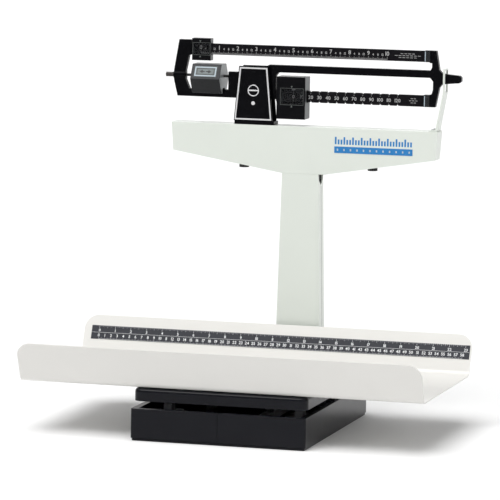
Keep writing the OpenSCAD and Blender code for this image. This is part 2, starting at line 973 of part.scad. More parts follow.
module upper_poise() {
  x0 = upper_poise_x - 15;
  x1 = upper_poise_x + 15;
  slot = bar_t / 2 + 0.5;
  color([0.07, 0.07, 0.08])
    difference() {
      box(x0, x1, beam_y - 7, beam_y + 7, 540, 574);
      box(x0 - 1, x1 + 1, beam_y - slot, beam_y + slot, upper_z0 - 0.5, upper_z1 + 0.5);
      box(x0 + 2, x1 - 2, beam_y - 8, beam_y, upper_z0, upper_z1);
    }
}

module upper_poise_window() {
  x0 = upper_poise_x - 13;
  color([0.75, 0.8, 0.82, 0.4])
    box(x0, x0 + 26, beam_y - 6.2, beam_y - 5, upper_z0, upper_z1);
}

module lower_poise() {
  x0 = poise_x - 24;
  x1 = poise_x + 21.5;
  depth = 28;
  slot = bar_t / 2 + 0.5;
  color([0.07, 0.07, 0.08])
    difference() {
      box(x0, x1, beam_y - depth / 2, beam_y + depth / 2, 455, 520);
      box(x0 - 1, x1 + 1, beam_y - slot, beam_y + slot, lower_z0 - 0.6, lower_z1 + 0.6);
      box(x0 + 7, x1 - 4, beam_y - depth, beam_y, lower_z0 - 3, lower_z1 + 3);
      // pocket for the pawl
      box(poise_x - 4, poise_x + 4, beam_y - 3, beam_y + 3, lower_z1, 512);
    }
}

module lower_poise_window() {
  color([0.75, 0.8, 0.82, 0.4])
    box(poise_x - 17, poise_x + 17.5, beam_y - 13, beam_y - 11.5, lower_z0 - 3,
        lower_z1 + 3);
}

// Tooth that finds the notches, drawn lifted just clear of the bar
module lower_poise_pawl() {
  tooth_r = 1.1;
  tooth_z = lower_z1 + 0.3 + tooth_r;
  color([0.7, 0.71, 0.73]) {
    box(poise_x - 4, poise_x + 4, beam_y - 3, beam_y + 3, tooth_z, 512);
    rod_along_y(beam_y - 3, beam_y + 3, poise_x, tooth_z, tooth_r);
  }
}

base_housing();
base_plate();
lever_bearings();
column_foot();
column_front();
column_back();
column_cap();
column_screws();
beam_shelf();
shelf_back();
shelf_plugs();
shelf_bearing();
shelf_label();
stand_foot();
stand_front();
stand_back();
stand_screws();
beam_bearings();
badge_frame();
badge_emblem();
trig_loop();
trig_loop_screws();
platform_cover();
platform_frame();
platform_bearings();
tray();
measuring_tape();
tray_screws();
main_lever();
main_lever_pivots();
short_lever();
short_lever_pivots();
draft_rod();
draft_rod_hooks();
shelf_lever();
shelf_lever_pivots();
beam_link();
beam_frame();
upper_bar();
lower_bar();
bar_end_blocks();
beam_rivets();
beam_pivots();
balance_rod();
balance_knob();
balance_weight();
weight_label();
upper_poise();
upper_poise_window();
lower_poise();
lower_poise_window();
lower_poise_pawl();
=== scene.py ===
"""Finishes, tray, tape and scale markings of a mechanical infant beam scale.

Laid out as an add-on, and run as a script round the scale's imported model. Metres, Z up, X along
the tray, with the origin on the table under the middle of the base.
"""

import json
import math

import bmesh
import bpy
from bpy.props import FloatProperty, FloatVectorProperty, IntProperty, PointerProperty
from bpy.types import Operator, Panel, PropertyGroup
from mathutils import Matrix, Vector

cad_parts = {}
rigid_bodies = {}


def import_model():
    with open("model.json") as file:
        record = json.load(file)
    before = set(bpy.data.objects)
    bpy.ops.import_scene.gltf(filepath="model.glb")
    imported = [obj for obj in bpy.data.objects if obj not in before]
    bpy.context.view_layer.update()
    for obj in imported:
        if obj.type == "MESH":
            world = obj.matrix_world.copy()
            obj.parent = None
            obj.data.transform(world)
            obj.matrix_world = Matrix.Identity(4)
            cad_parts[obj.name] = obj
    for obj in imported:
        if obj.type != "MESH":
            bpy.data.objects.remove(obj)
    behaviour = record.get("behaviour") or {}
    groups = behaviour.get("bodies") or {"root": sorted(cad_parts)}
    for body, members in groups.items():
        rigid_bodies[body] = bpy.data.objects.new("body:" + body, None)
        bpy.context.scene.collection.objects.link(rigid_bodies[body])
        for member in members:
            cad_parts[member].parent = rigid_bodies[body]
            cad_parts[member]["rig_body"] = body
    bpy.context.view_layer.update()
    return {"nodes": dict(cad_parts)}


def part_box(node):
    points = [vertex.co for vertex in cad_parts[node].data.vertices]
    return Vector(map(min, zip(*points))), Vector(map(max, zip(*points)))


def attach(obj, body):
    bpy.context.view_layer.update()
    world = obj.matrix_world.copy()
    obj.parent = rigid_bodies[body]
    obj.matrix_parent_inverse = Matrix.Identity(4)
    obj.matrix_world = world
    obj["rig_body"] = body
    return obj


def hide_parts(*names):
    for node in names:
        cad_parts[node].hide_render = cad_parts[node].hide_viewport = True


bl_info = {
    "name": "Infant beam scale",
    "version": (1, 0, 0),
    "blender": (4, 5, 0),
    "location": "View3D > Sidebar > Beam scale",
    "description": "Finishes, tray, tape and markings of a mechanical infant scale",
    "category": "Add Mesh",
}

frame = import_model()
MM = 0.001
INCH = 0.0254
QUARTER_STEPS = 8  # flats in each quarter turn of the pressed cover
FIGURE_WEIGHT = 0.012  # how far the figures' strokes are fattened
BARE_END = 0.85  # how squarely a face looks along the bar before it shows bare metal


# ---- settings ----

def length(name, description, default):
    return FloatProperty(
        name=name, description=description, default=default, min=0.0, unit="LENGTH"
    )


def angle(name, description, degrees):
    return FloatProperty(
        name=name, description=description, default=math.radians(degrees), subtype="ANGLE"
    )


def place(name, description, default):
    return FloatVectorProperty(
        name=name, description=description, default=default, size=3, subtype="XYZ", unit="LENGTH"
    )


def colour(name, description, default):
    return FloatVectorProperty(
        name=name, description=description, default=default, size=3, subtype="COLOR", min=0, max=1
    )


class FinishSettings(PropertyGroup):
    """Colours of the scale's finishes"""

    tray: colour("Tray enamel", "Warm white baked on the tray", (0.74, 0.73, 0.7))
    column: colour("Column enamel", "Pale grey-green of the column and shelf", (0.715, 0.755, 0.7))
    base: colour("Base enamel", "Blue-black of the base and platform", (0.003, 0.0033, 0.006))
    casting: colour("Beam enamel", "Black of the casting and the stand", (0.002, 0.002, 0.003))
    bar: colour("Bar black", "Black of the graduated bars", (0.003, 0.0025, 0.004))
    mark: colour("Marks", "Pale filling of the bars' marks", (0.42, 0.42, 0.42))
    # painted highlight: this grey on the window borders stands for the light caught by the poises'
    # embossed rims
    line: colour("Lines", "Dim lines round the poises' windows", (0.09, 0.1, 0.095))
    weight: colour("Weight grey", "Dark grey of the balance weight", (0.015, 0.016, 0.018))
    iron: colour("Lever iron", "Grey of the cast levers", (0.36, 0.375, 0.39))
    steel: colour("Steel", "Ground and drawn steel", (0.56, 0.57, 0.58))
    silver: colour("Silver trim", "Bright border and plate", (0.78, 0.78, 0.79))
    stripe: colour("Stripe", "Blue of the printed stripe", (0.01, 0.19, 0.5))
    tape: colour("Tape", "Black of the measuring tape", (0.012, 0.014, 0.022))
    tape_mark: colour("Tape figures", "Pale print on the tape", (0.82, 0.83, 0.84))
    knob: colour("Knob", "Brown-black of the fluted knob", (0.022, 0.014, 0.012))


class BaseSettings(PropertyGroup):
    """Sizes of the platform's pressed cover"""

    cover: length("Cover sheet", "Thickness of the cover's sheet", 2 * MM)
    corner: length("Corner radius", "Radius of the cover's upright corners", 12 * MM)
    roll: length("Roll radius", "Rounding of the cover's upper edge", 7 * MM)
    rim: length("Rim radius", "Rounding of the cover's lower edge", 0.5 * MM)


class TraySettings(PropertyGroup):
    """Sizes of the tray and its measuring tape"""

    sheet: length("Sheet", "Thickness of the tray's sheet", 2 * MM)
    bend: length("Bend radius", "Outside radius of the bend at each flange", 12 * MM)
    lean: angle("Lean", "Lean of the flanges, away from upright", 23)
    flange: length("Flange width", "Width of a flange above its bend", 57 * MM)
    corner: length("Corner radius", "Radius of a flange's upper corners", 22 * MM)
    rim: length("Rim radius", "Rounding of the sheet's edges", 0.7 * MM)
    tape_foot: length("Tape height", "Place of the tape's lower edge on the flange", 18 * MM)
    tape_width: length("Tape width", "Width of the tape", 22 * MM)
    tape_zero: length("Tape zero", "Distance of the zero mark from the tape's end", 12.3 * MM)
    tape_sheet: length("Tape thickness", "Thickness of the tape", 0.5 * MM)


class BeamSettings(PropertyGroup):
    """Sizes of the bars' markings"""

    pound: length("Pound pitch", "Distance between pounds on the upper bar", 29.6 * MM)
    index: length("Index", "How far left of the upper poise's middle it reads", 2 * MM)
    pounds: IntProperty(name="Pounds", description="Last pound on the upper bar", default=10)
    notch: length("Notch pitch", "Distance between notches on the lower bar", 13.7 * MM)
    notches: IntProperty(name="Notches", description="Last notch on the lower bar", default=12)
    relief: length("Mark height", "How far marks stand above a surface", 0.06 * MM)


class StageSettings(PropertyGroup):
    """Camera, lights and floor"""

    camera: place("Camera", "Place of the camera", (1.67375, -5.88257, 1.00957))
    target: place("Target", "Point that the camera looks at", (0.00268, -0.02823, 0.27301))
    roll: angle("Roll", "Turn of the camera about its view", 0.854)
    lens: FloatProperty(name="Lens", description="Focal length in millimetres", default=295.18)
    floor: colour("Floor", "Colour of the floor and backdrop", (0.93, 0.93, 0.93))
    sky: FloatProperty(name="Sky", description="Strength of the even light", default=0.29)
    key: FloatProperty(name="Key", description="Strength of the overhead light", default=2.85)
    softness: angle("Softness", "Spread of the overhead light", 50)


# ---- shader helpers ----

class Value:
    """A socket of a finish. Arithmetic on it adds Math nodes."""

    def __init__(self, finish, socket):
        self.finish = finish
        self.socket = socket

    def math(self, operation, *operands):
        return self.finish.add(
            "ShaderNodeMath", {"operation": operation}, dict(enumerate(operands))
        )

    def __add__(self, other):
        return self.math("ADD", self, other)

    def __sub__(self, other):
        return self.math("SUBTRACT", self, other)

    def __rsub__(self, other):
        return self.math("SUBTRACT", other, self)

    def __mul__(self, other):
        return self.math("MULTIPLY", self, other)

    def __gt__(self, other):
        return self.math("GREATER_THAN", self, other)

    __radd__ = __add__
    __rmul__ = __mul__

    def clamped(self):
        return self.finish.add("ShaderNodeClamp", {}, {0: self})


class Finish:
    """A material with one Principled shader and the nodes that feed it."""

    def __init__(self, name, constants):
        self.material = bpy.data.materials.new(name + "_finish")
        self.material.use_nodes = True
        self.tree = self.material.node_tree
        self.shader = self.tree.nodes["Principled BSDF"]
        for socket, value in constants.items():
            self.shader.inputs[socket].default_value = value

    def add(self, kind, settings, sockets, output=0):
        """Adds a node: its settings first, then its sockets. Returns one output."""
        node = self.tree.nodes.new(kind)
        for name, value in settings.items():
            setattr(node, name, value)
        for socket, value in sockets.items():
            self.join(value, node.inputs[socket])
        return Value(self, node.outputs[output])

    def join(self, value, socket):
        if isinstance(value, Value):
            self.tree.links.new(value.socket, socket)
        else:
            socket.default_value = value

    def set(self, **values):
        """Feeds the shader's varying sockets, named with _ for a space."""
        for name, value in values.items():
            self.join(value, self.shader.inputs[name.replace("_", " ").title()])

    def point(self, stretch=(1, 1, 1)):
        where = self.add("ShaderNodeTexCoord", {}, {}, "Object")
        return self.add("ShaderNodeVectorMath", {"operation": "MULTIPLY"}, {0: where, 1: stretch})

    def noise(self, size, detail=2.0, stretch=(1, 1, 1)):
        """Soft noise from 0 to 1 with features about size metres wide."""
        return self.add(
            "ShaderNodeTexNoise", {},
            {"Vector": self.point(stretch), "Scale": 1 / size, "Detail": detail},
        )

    def edges(self, radius):
        """1 along outer edges and 0 on flat surfaces."""
        soft = self.add("ShaderNodeBevel", {"samples": 6}, {"Radius": radius})
        true = self.add("ShaderNodeNewGeometry", {}, {}, "Normal")
        match = self.add(
            "ShaderNodeVectorMath", {"operation": "DOT_PRODUCT"}, {0: soft, 1: true}, "Value"
        )
        return ((1 - match) * 9).clamped()

    def facing_x(self):
        """1 where a surface looks along X, and -1 where it looks back."""
        normal = self.add("ShaderNodeNewGeometry", {}, {}, "Normal")
        return self.add("ShaderNodeSeparateXYZ", {}, {0: normal}, 0)

    def mixed(self, factor, low, high):
        """A colour between two others."""
        return self.add(
            "ShaderNodeMix", {"data_type": "RGBA"}, {0: factor, 6: low, 7: high}, 2
        )

    def bump(self, height, depth):
        """A normal from a height of 0 to 1 that stands for depth metres."""
        return self.add("ShaderNodeBump", {}, {"Height": height, "Distance": depth})


def rgba(tint, gain=1.0):
    return (*(min(1.0, channel * gain) for channel in tint), 1.0)


# ---- finishes ----

def enamel(name, tint, worn, roughness, coat, peel, ior=1.5):
    """Baked enamel: soft orange peel, slight clouding, thin colour on the edges."""
    made = Finish(name, {"IOR": ior, "Coat Roughness": 0.08})
    cloud = made.noise(70 * MM, 3)
    body = made.mixed(cloud, rgba(tint, 0.965), rgba(tint, 1.02))
    rubbed = made.edges(0.5 * MM) * made.noise(5 * MM, 3)
    made.set(
        base_color=made.mixed(rubbed * 0.35, body, worn),
        roughness=roughness + (made.noise(24 * MM, 4) - 0.5) * 0.1 + rubbed * 0.12,
        coat_weight=coat + (cloud - 0.5) * 0.1,
        normal=made.bump(made.noise(1.6 * MM, 1) + made.noise(7 * MM, 1) * 0.6, peel),
    )
    return made.material


def tray_enamel(tints):
    return enamel("tray_enamel", tints.tray, (0.66, 0.65, 0.62, 1), 0.34, 0.25, 0.012 * MM)


def column_enamel(tints):
    return enamel("column_enamel", tints.column, (0.6, 0.62, 0.59, 1), 0.32, 0.3, 0.012 * MM)


def loop_white(tints):
    return enamel("loop_white", tints.column, (0.45, 0.46, 0.45, 1), 0.35, 0.2, 0.01 * MM)


def base_black(tints):
    return enamel("base_black", tints.base, (0.05, 0.052, 0.06, 1), 0.22, 0.0, 0.016 * MM, 1.27)


def beam_black(tints):
    return enamel("beam_black", tints.casting, (0.04, 0.04, 0.04, 1), 0.22, 0.0, 0.02 * MM, 1.13)


def stand_black(tints):
    return enamel("stand_black", tints.casting, (0.05, 0.05, 0.05, 1), 0.2, 0.0, 0.008 * MM, 1.13)


def bar_black(tints):
    """Stove black over a drawn bar, with faint lines along it."""
    made = Finish("bar_black", {"IOR": 1.2})
    drawn = made.noise(0.5 * MM, 2, (0.02, 1, 1))
    rubbed = made.edges(0.4 * MM) * made.noise(4 * MM, 3)
    made.set(
        base_color=made.mixed(rubbed * 0.5, rgba(tints.bar), (0.09, 0.088, 0.085, 1)),
        roughness=0.3 + (drawn - 0.5) * 0.14,
        normal=made.bump(drawn, 0.006 * MM),
    )
    return made.material


def poise_black(tints):
    """Satin black on the faces, ground bare metal on the ends that face along the bar."""
    made = Finish("poise_black", {"IOR": 1.17})
    facing = made.facing_x()
    bare = facing > BARE_END
    ground = made.noise(0.7 * MM, 3, (1, 1, 0.05))
    black = made.mixed(made.edges(0.5 * MM) * 0.4, rgba(tints.casting), (0.07, 0.07, 0.07, 1))
    grey = made.mixed(ground, (0.09, 0.094, 0.097, 1), (0.15, 0.155, 0.158, 1))
    made.set(
        base_color=made.mixed(bare, black, grey),
        metallic=bare * 0.6,
        roughness=0.26 + bare * 0.14 + (ground - 0.5) * 0.08,
        normal=made.bump(made.noise(1.4 * MM, 1) * 0.6 + ground * bare, 0.012 * MM),
    )
    return made.material


def weight_grey(tints):
    """Dark plated facets with bright turned ends."""
    made = Finish("weight_grey", {"IOR": 1.3})
    facing = made.facing_x()
    end = facing.math("ABSOLUTE", facing) > BARE_END
    drawn = made.noise(0.6 * MM, 3, (0.03, 1, 1))
    turned = made.noise(0.5 * MM, 3, (1, 0.2, 1))
    made.set(
        base_color=made.mixed(end, rgba(tints.weight), (0.25, 0.265, 0.27, 1)),
        metallic=0.1 + end * 0.1,
        roughness=0.3 + (drawn - 0.5) * 0.16 + end * 0.05,
        normal=made.bump(drawn * (1 - end) + turned * end, 0.008 * MM),
    )
    return made.material


def lever_grey(tints):
    """Sand-cast iron under thin grey paint."""
    made = Finish("lever_grey", {"IOR": 1.5})
    grain = made.noise(1.1 * MM, 5)
    made.set(
        base_color=made.mixed(made.noise(9 * MM, 4), rgba(tints.iron, 0.7), rgba(tints.iron, 1.2)),
        roughness=0.5 + grain * 0.2,
        normal=made.bump(grain, 0.12 * MM),
    )
    return made.material


def brushed(name, tint, stretch, roughness):
    """Bare metal with fine lines in one direction."""
    made = Finish(name, {"Metallic": 1.0})
    lines = made.noise(0.4 * MM, 4, stretch)
    made.set(
        base_color=made.mixed(lines, rgba(tint, 0.82), rgba(tint, 1.05)),
        roughness=roughness + (lines - 0.5) * 0.2 + made.noise(12 * MM, 3) * 0.06,
        normal=made.bump(lines, 0.01 * MM),
    )
    return made.material


def knife_steel(tints):
    return brushed("knife_steel", tints.steel, (0.05, 1, 1), 0.22)


def rod_steel(tints):
    return brushed("rod_steel", tints.steel, (1, 1, 0.04), 0.28)


def screw_steel(tints):
    return brushed("screw_steel", tints.steel, (1, 0.3, 1), 0.24)


def badge_silver(tints):
    return brushed("badge_silver", tints.silver, (1, 1, 0.06), 0.2)


def label_silver(tints):
    return brushed("label_silver", (0.09, 0.1, 0.1), (0.05, 1, 1), 0.36)


def moulded(name, tint, roughness, coat, grain_size, grain_depth):
    """Moulded or printed plastic with a fine grain and slight handling marks. It also gives the
    painted shade of the column's joint and the painted highlights at the bar joints and poise
    rims.
    """
    made = Finish(name, {"IOR": 1.46, "Coat Weight": coat, "Coat Roughness": 0.2})
    grain = made.noise(grain_size, 2)
    handled = made.noise(18 * MM, 4)
    made.set(
        base_color=made.mixed(handled, rgba(tint, 0.92), rgba(tint, 1.06)),
        roughness=roughness + (handled - 0.5) * 0.12,
        normal=made.bump(grain, grain_depth),
    )
    return made.material


def rod_black(tints):
    """Blackened rod whose fine thread shows as rings along it."""
    made = Finish("rod_black", {"IOR": 1.5, "Metallic": 0.4})
    rings = made.add(
        "ShaderNodeTexWave", {"bands_direction": "X", "wave_profile": "SIN"},
        {"Vector": made.point(), "Scale": 310.0},
    )
    made.set(
        base_color=made.mixed(rings, (0.006, 0.006, 0.006, 1), (0.05, 0.05, 0.05, 1)),
        roughness=0.4 - rings * 0.12,
        normal=made.bump(rings, 0.25 * MM),
    )
    return made.material


def knob_black(tints):
    return moulded("knob_black", tints.knob, 0.26, 0.4, 1 * MM, 0.01 * MM)


def plug_black(tints):
    return moulded("plug_black", (0.012, 0.012, 0.012), 0.7, 0.0, 0.8 * MM, 0.05 * MM)


def tape_black(tints):
    return moulded("tape_black", tints.tape, 0.36, 0.15, 0.5 * MM, 0.006 * MM)


def label_blue(tints):
    return moulded("label_blue", tints.stripe, 0.4, 0.1, 0.6 * MM, 0.004 * MM)


def mark_white(tints):
    return moulded("mark_white", tints.mark, 0.5, 0.0, 0.3 * MM, 0.01 * MM)


# painted highlight on the poises' embossed window rims; the index arrows share it
def line_grey(tints):
    return moulded("line_grey", tints.line, 0.5, 0.0, 0.3 * MM, 0.01 * MM)


# pale dots and label border, and the painted highlight lines at the bars' joints
def dot_white(tints):
    return moulded("dot_white", (0.42, 0.5, 0.56), 0.45, 0.0, 0.3 * MM, 0.004 * MM)


# painted shade: the column's enamel at under half its brightness, for the shade inside the
# column's joint
def seam_grey(tints):
    return moulded("seam_grey", rgba(tints.column, 0.45)[:3], 0.6, 0.0, 0.5 * MM, 0.01 * MM)


def tape_white(tints):
    return moulded("tape_white", tints.tape_mark, 0.45, 0.0, 0.3 * MM, 0.004 * MM)


def mark_black(tints):
    return moulded("mark_black", (0.01, 0.01, 0.01), 0.5, 0.0, 0.3 * MM, 0.006 * MM)


def window_clear(tints):
    """Smoked clear sheet with faint smears."""
    made = Finish("window_clear", {"IOR": 1.3})
    smear = made.noise(6 * MM, 4)
    made.set(
        base_color=made.mixed(smear, (0.006, 0.006, 0.008, 1), (0.02, 0.022, 0.024, 1)),
        roughness=0.06 + smear * 0.1,
        alpha=0.2 + smear * 0.12,
    )
    return made.material


def floor_white(stage):
    """Plain pale paper."""
    made = Finish("floor_white", {"Specular IOR Level": 0.1})
    paper = made.noise(0.4, 2)
    made.set(
        base_color=made.mixed(paper, rgba(stage.floor, 0.99), rgba(stage.floor)),
        roughness=0.9 - paper * 0.05,
    )
    return made.material


FINISHES = {
    make.__name__: make
    for make in (
        tray_enamel, column_enamel, loop_white, base_black, beam_black, stand_black, bar_black,
        poise_black, weight_grey, lever_grey, knife_steel, rod_steel, screw_steel, badge_silver,
        label_silver, rod_black, knob_black, plug_black, tape_black, label_blue, mark_white,
        line_grey, dot_white, seam_grey, tape_white, mark_black, window_clear,
    )
}


def finish(name):
    """The named finish, made the first time it is asked for."""
    made = bpy.data.materials.get(name + "_finish")
    return made or FINISHES[name](bpy.context.scene.scale_finishes)


# ---- mesh helpers ----

def piece(name, mesh, body, finish_name):
    """A finished piece of that mesh which rides on a body."""
    made = bpy.data.objects.new(name, mesh)
    bpy.context.scene.collection.objects.link(made)
    mesh.materials.clear()
    mesh.materials.append(finish(finish_name))
    mesh.shade_smooth()
    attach(made, body)
    return made


def rounded(made, width, segments=2, least=32):
    """Rounds a piece's hard edges and keeps its flat faces flat."""
    bevel = made.modifiers.new("edges", "BEVEL")
    bevel.width = width
    bevel.segments = segments
    bevel.limit_method = "ANGLE"
    bevel.angle_limit = math.radians(least)
    bevel.use_clamp_overlap = True
    bevel.miter_outer = "MITER_ARC"
    normals = made.modifiers.new("normals", "WEIGHTED_NORMAL")
    normals.keep_sharp = True
    return made


def eased(node, width, finish_name):
    """A CAD node with its hard edges rounded, standing for the node."""
    source = frame["nodes"][node]
    body = source["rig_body"]
    shape = bmesh.new()
    shape.from_mesh(source.data)
    bmesh.ops.remove_doubles(shape, verts=shape.verts, dist=0.002 * MM)
    bmesh.ops.dissolve_limit(
        shape, angle_limit=math.radians(0.5), verts=shape.verts, edges=shape.edges
    )
    mesh = bpy.data.meshes.new(node + "_eased")
    shape.to_mesh(mesh)
    shape.free()
    made = piece(node + "_eased", mesh, body, finish_name)
    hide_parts(node)
    return rounded(made, width)


def kept(node, finish_name):
    """A CAD node that keeps its own mesh, with a finish."""
    for slot in frame["nodes"][node].material_slots:
        slot.material = finish(finish_name)


def ease_all(table):
    for node, width, finish_name in table:
        eased(node, width * MM, finish_name)


class Marks:
    """Flat marks drawn on a plane with axes u and v, then laid on a surface as thin relief."""

    figures = {}

    def __init__(self):
        self.shape = bmesh.new()

    def outline(self, points):
        self.shape.faces.new([self.shape.verts.new((u, v, 0)) for u, v in points])

    def bar(self, u0, u1, v0, v1):
        self.outline([(u0, v0), (u1, v0), (u1, v1), (u0, v1)])

    def tick(self, u, v0, v1, width):
        self.bar(u - width / 2, u + width / 2, min(v0, v1), max(v0, v1))

    def frame(self, u0, u1, v0, v1, line):
        """A thin rectangular border."""
        self.bar(u0, u1, v0, v0 + line)
        self.bar(u0, u1, v1 - line, v1)
        self.bar(u0, u0 + line, v0 + line, v1 - line)
        self.bar(u1 - line, u1, v0 + line, v1 - line)

    def dashes(self, u0, u1, v, count, height):
        """A row of short bars of equal length."""
        pitch = (u1 - u0) / count
        for step in range(count):
            start = u0 + (step + 0.14) * pitch
            self.bar(start, start + 0.72 * pitch, v - height / 2, v + height / 2)

    def figure(self, text, u, v, height):
        """A number centred on u, standing on v."""
        gap = 0.1
        widths = [self.figures[digit][1] for digit in text]
        start = -(sum(widths) + gap * (len(text) - 1)) / 2
        for digit, width in zip(text, widths):
            mesh, _ = self.figures[digit]
            made = [
                self.shape.verts.new(
                    (u + (start + vertex.co.x) * height, v + vertex.co.y * height, 0)
                )
                for vertex in mesh.vertices
            ]
            for polygon in mesh.polygons:
                self.shape.faces.new([made[index] for index in polygon.vertices])
            start += width + gap

    @classmethod
    def draw_figures(cls):
        """Draws the ten digits once, each one unit high, with its width."""
        holders = {}
        for digit in "0123456789":
            curve = bpy.data.curves.new("figure", "FONT")
            curve.body = digit
            curve.resolution_u = 3
            curve.offset = FIGURE_WEIGHT
            holders[digit] = bpy.data.objects.new("figure", curve)
            bpy.context.scene.collection.objects.link(holders[digit])
        graph = bpy.context.evaluated_depsgraph_get()
        for digit, holder in holders.items():
            mesh = bpy.data.meshes.new_from_object(holder.evaluated_get(graph))
            corners = [vertex.co.copy() for vertex in mesh.vertices]
            left, right = (pick(corner.x for corner in corners) for pick in (min, max))
            low, high = (pick(corner.y for corner in corners) for pick in (min, max))
            for vertex, corner in zip(mesh.vertices, corners):
                vertex.co = ((corner.x - left) / (high - low), (corner.y - low) / (high - low), 0)
            cls.figures[digit] = (mesh, (right - left) / (high - low))
            bpy.data.objects.remove(holder)

    def laid(self, name, surface, body, finish_name):
        """The marks as one piece; surface(u, v, lift) gives a point in the frame."""
        relief = bpy.context.scene.scale_beam.relief
        bmesh.ops.recalc_face_normals(self.shape, faces=self.shape.faces)
        raised = bmesh.ops.extrude_face_region(self.shape, geom=self.shape.faces[:])
        for vertex in self.shape.verts:
            vertex.co.z = -relief / 3
        for vertex in (item for item in raised["geom"] if isinstance(item, bmesh.types.BMVert)):
            vertex.co.z = relief
        for vertex in self.shape.verts:
            vertex.co = surface(*vertex.co)
        bmesh.ops.recalc_face_normals(self.shape, faces=self.shape.faces)
        mesh = bpy.data.meshes.new(name)
        self.shape.to_mesh(mesh)
        self.shape.free()
        made = piece(name, mesh, body, finish_name)
        mesh.shade_flat()
        return made


# ---- base ----

def round_outline(low, high, inset, corner, z):
    """Points round a rectangle with round corners, drawn in by inset."""
    radius = corner - inset
    points = []
    for quarter, (x, y) in enumerate((
        (high.x, high.y), (low.x, high.y), (low.x, low.y), (high.x, low.y)
    )):
        centre_x = x - math.copysign(corner, x - (low.x + high.x) / 2)
        centre_y = y - math.copysign(corner, y - (low.y + high.y) / 2)
        for step in range(QUARTER_STEPS + 1):
            turn = math.pi / 2 * (quarter + step / QUARTER_STEPS)
            points.append(
                (centre_x + radius * math.cos(turn), centre_y + radius * math.sin(turn), z)
            )
    return points


def platform_sheet():
    """The platform's cover, pressed from one sheet with a rolled upper edge."""
    base = bpy.context.scene.scale_base
    low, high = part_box("platform_cover")
    levels = [(0, low.z)]
    for step in range(QUARTER_STEPS + 1):
        turn = math.pi / 2 * step / QUARTER_STEPS
        levels.append(
            (base.roll * (1 - math.cos(turn)), high.z - base.roll * (1 - math.sin(turn)))
        )
    shape = bmesh.new()
    rings = [
        [shape.verts.new(point) for point in round_outline(low, high, inset, base.corner, z)]
        for inset, z in levels
    ]
    count = len(rings[0])
    for lower, upper in zip(rings, rings[1:]):
        for step in range(count):
            after = (step + 1) % count
            shape.faces.new((lower[step], lower[after], upper[after], upper[step]))
    shape.faces.new(rings[-1])
    mesh = bpy.data.meshes.new("platform_sheet")
    shape.to_mesh(mesh)
    shape.free()
    made = piece("platform_sheet", mesh, "platform", "base_black")
    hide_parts("platform_cover")
    thick = made.modifiers.new("sheet", "SOLIDIFY")
    thick.thickness = base.cover
    thick.offset = -1
    thick.use_even_offset = True
    return rounded(made, base.rim, 2, 60)


# ---- tray and tape ----

def flange(way):
    """Gives points on a flange from x, up from its foot and lift from its outer face.

    way is 1 at the back and -1 at the front.
    """
    tray = bpy.context.scene.scale_tray
    low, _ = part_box("tray")
    foot = flange_foot(way)
    across, rise = math.sin(tray.lean), math.cos(tray.lean)

    def point(x, up, lift):
        out = up * across + (tray.bend - lift) * rise
        height = tray.bend + up * rise - (tray.bend - lift) * across
        return Vector((x, foot + way * out, low.z + height))

    return point


def flange_foot(way):
    """Y of the line where the tray's flat floor ends and a bend begins."""
    tray = bpy.context.scene.scale_tray
    low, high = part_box("tray")
    reach = tray.flange * math.sin(tray.lean) + tray.bend * math.cos(tray.lean)
    return high.y - reach if way > 0 else low.y + reach


def tray_rows(way):
    """Points across half of the tray's underside, floor to tip, with each row's half length."""
    tray = bpy.context.scene.scale_tray
    low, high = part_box("tray")
    half = (high.x - low.x) / 2
    foot = flange_foot(way)
    point = flange(way)
    bend_steps, corner_steps = 10, 10
    rows = []
    for step in range(bend_steps):
        turn = (math.pi / 2 - tray.lean) * step / bend_steps
        rows.append(
            (Vector((0, foot + way * tray.bend * math.sin(turn),
                     low.z + tray.bend * (1 - math.cos(turn)))), half)
        )
    straight = tray.flange - tray.corner
    for share in (0, 0.33, 0.66):
        rows.append((point(0, straight * share, 0), half))
    for step in range(corner_steps + 1):
        turn = math.pi / 2 * step / corner_steps
        rows.append(
            (point(0, straight + tray.corner * math.sin(turn), 0),
             half - tray.corner * (1 - math.cos(turn)))
        )
    return rows


def tray_sheet():
    """The tray's one sheet: floor, two bends, two flanges with round upper corners."""
    tray = bpy.context.scene.scale_tray
    columns = 28
    rows = list(reversed(tray_rows(-1))) + tray_rows(1)
    shape = bmesh.new()
    grid = [
        [
            shape.verts.new((half * (2 * column / columns - 1), point.y, point.z))
            for column in range(columns + 1)
        ]
        for point, half in rows
    ]
    for lower, upper in zip(grid, grid[1:]):
        for column in range(columns):
            shape.faces.new(
                (lower[column], lower[column + 1], upper[column + 1], upper[column])
            )
    mesh = bpy.data.meshes.new("tray_sheet")
    shape.to_mesh(mesh)
    shape.free()
    made = piece("tray_sheet", mesh, "platform", "tray_enamel")
    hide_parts("tray")
    thick = made.modifiers.new("sheet", "SOLIDIFY")
    thick.thickness = tray.sheet
    thick.offset = 1
    thick.use_even_offset = True
    return rounded(made, tray.rim, 3, 60)


def tape_surface():
    """Surface function for the tape: u from its zero mark, v up from its lower edge."""
    tray = bpy.context.scene.scale_tray
    low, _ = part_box("measuring_tape")
    point = flange(1)
    face = tray.sheet + tray.tape_sheet
    return lambda u, v, lift: point(
        low.x + tray.tape_zero + u, tray.tape_foot + v, face + lift
    )


